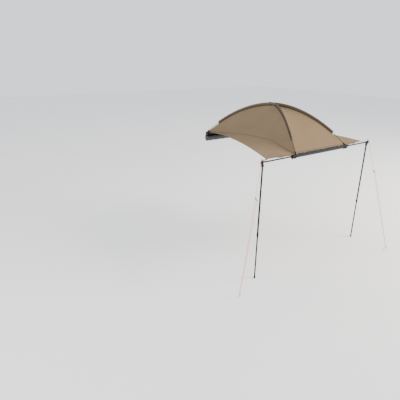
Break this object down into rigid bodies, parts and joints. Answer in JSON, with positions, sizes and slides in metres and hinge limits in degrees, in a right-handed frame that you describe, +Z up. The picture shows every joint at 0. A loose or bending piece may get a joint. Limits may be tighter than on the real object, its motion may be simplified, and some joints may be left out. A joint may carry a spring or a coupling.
{
  "type": "vehicle side awning",
  "caption": "Dome-topped cloth awning that mounts along a vehicle's side, with a pole-arched roof, two stretched side wings, sliding arms, folding telescopic legs and guy ropes.",
  "frame": {"origin": "middle of the vehicle rail's back face, level with the rail's centre", "axes": "+X along the rails, +Y towards the vehicle, +Z up; the awning reaches out along -Y and its feet stand at z = -1.875 m"},
  "size_m": [3.1782, 3.0067, 2.656],
  "materials": {
    "anodised": "satin anodised, dark grey",
    "black_plastic": "moulded, fine texture",
    "grey_plastic": "moulded, light grey",
    "zinc_steel": "bright zinc plated",
    "black_steel": "black powder coat",
    "glass_fibre": "black glass-fibre rod",
    "tan_cloth": "plain-weave coated polyester, tan",
    "sleeve_cloth": "plain-weave coated polyester, dark brown",
    "bag_cloth": "PVC-coated cloth, black",
    "webbing": "woven tape, dark grey",
    "orange_rope": "braided cord, orange",
    "rubber": "moulded rubber, black"
  },
  "bodies": {
    "canopy_frame": {"vehicle_rail": "anodised", "vehicle_rail_cap_left": "black_plastic", "vehicle_rail_cap_right": "black_plastic", "mount_bracket_left": "black_steel", "mount_bracket_right": "black_steel", "bracket_bolt_left_a": "zinc_steel", "bracket_bolt_left_b": "zinc_steel", "bracket_bolt_right_a": "zinc_steel", "bracket_bolt_right_b": "zinc_steel", "storage_bag": "bag_cloth", "vehicle_bead": "tan_cloth", "front_bead": "tan_cloth", "pole_socket_left": "black_plastic", "pole_socket_right": "black_plastic", "dome_pole_a": "glass_fibre", "dome_pole_b": "glass_fibre", "pole_crossing_clip": "grey_plastic", "pole_sleeve_vehicle_left": "sleeve_cloth", "pole_sleeve_front_right": "sleeve_cloth", "pole_sleeve_front_left": "sleeve_cloth", "pole_sleeve_vehicle_right": "sleeve_cloth", "canopy_dome": "tan_cloth", "canopy_wing_left": "tan_cloth", "canopy_wing_right": "tan_cloth", "front_rail": "anodised", "pole_hub_left": "black_plastic", "pole_hub_right": "black_plastic", "arm_guide_left": "black_plastic", "arm_guide_right": "black_plastic"},
    "arm_left": {"arm_tube_left": "anodised", "corner_fitting_left": "black_plastic", "tip_strap_left": "webbing", "guy_loop_left": "orange_rope", "guy_rope_left": "orange_rope", "guy_runner_left": "grey_plastic", "guy_peg_left": "zinc_steel", "leg_pivot_pin_left": "zinc_steel"},
    "upper_leg_left": {"leg_head_left": "black_plastic", "leg_upper_tube_left": "anodised"},
    "lower_leg_left": {"leg_lower_tube_left": "anodised", "leg_foot_left": "rubber"},
    "leg_lock_left": {"leg_lock_left": "black_plastic"},
    "hub_knob_left": {"hub_knob_left": "black_plastic"},
    "arm_knob_left": {"arm_knob_left": "black_plastic"},
    "arm_right": {"arm_tube_right": "anodised", "corner_fitting_right": "black_plastic", "tip_strap_right": "webbing", "guy_loop_right": "orange_rope", "guy_rope_right": "orange_rope", "guy_runner_right": "grey_plastic", "guy_peg_right": "zinc_steel", "leg_pivot_pin_right": "zinc_steel"},
    "upper_leg_right": {"leg_head_right": "black_plastic", "leg_upper_tube_right": "anodised"},
    "lower_leg_right": {"leg_lower_tube_right": "anodised", "leg_foot_right": "rubber"},
    "leg_lock_right": {"leg_lock_right": "black_plastic"},
    "hub_knob_right": {"hub_knob_right": "black_plastic"},
    "arm_knob_right": {"arm_knob_right": "black_plastic"}
  },
  "joints": [
    {"name": "arm_left_slide", "type": "slide", "parent": "canopy_frame", "child": "arm_left", "axis": [1, 0, 0], "range_m": [0, 0.5], "deforming": ["canopy_wing_left"]},
    {"name": "leg_left_fold", "type": "hinge", "parent": "arm_left", "child": "upper_leg_left", "pos_m": [-1.2925, -2.2355, -0.0613], "axis": [0, -1, 0], "range_deg": [0, 90]},
    {"name": "leg_left_length", "type": "slide", "parent": "upper_leg_left", "child": "lower_leg_left", "axis": [0, 0, 1], "range_m": [0, 0.64]},
    {"name": "leg_left_lock_turn", "type": "hinge", "parent": "upper_leg_left", "child": "leg_lock_left", "pos_m": [-1.2925, -2.2355, -1.1263], "axis": [0, 0, 1], "range_deg": [0, 90]},
    {"name": "hub_knob_left_turn", "type": "hinge", "parent": "canopy_frame", "child": "hub_knob_left", "pos_m": [-0.605, -2.22, -0.04], "axis": [0, 0, 1], "range_deg": [0, 360]},
    {"name": "arm_knob_left_turn", "type": "hinge", "parent": "canopy_frame", "child": "arm_knob_left", "pos_m": [-0.662, -2.22, -0.04], "axis": [0, 0, 1], "range_deg": [0, 360]},
    {"name": "arm_right_slide", "type": "slide", "parent": "canopy_frame", "child": "arm_right", "axis": [-1, 0, 0], "range_m": [0, 0.5], "deforming": ["canopy_wing_right"]},
    {"name": "leg_right_fold", "type": "hinge", "parent": "arm_right", "child": "upper_leg_right", "pos_m": [1.2925, -2.2045, -0.0613], "axis": [0, 1, 0], "range_deg": [0, 90]},
    {"name": "leg_right_length", "type": "slide", "parent": "upper_leg_right", "child": "lower_leg_right", "axis": [0, 0, 1], "range_m": [0, 0.64]},
    {"name": "leg_right_lock_turn", "type": "hinge", "parent": "upper_leg_right", "child": "leg_lock_right", "pos_m": [1.2925, -2.2045, -1.1263], "axis": [0, 0, 1], "range_deg": [0, 90]},
    {"name": "hub_knob_right_turn", "type": "hinge", "parent": "canopy_frame", "child": "hub_knob_right", "pos_m": [0.605, -2.22, -0.04], "axis": [0, 0, 1], "range_deg": [0, 360]},
    {"name": "arm_knob_right_turn", "type": "hinge", "parent": "canopy_frame", "child": "arm_knob_right", "pos_m": [0.662, -2.22, -0.04], "axis": [0, 0, 1], "range_deg": [0, 360]}
  ]
}
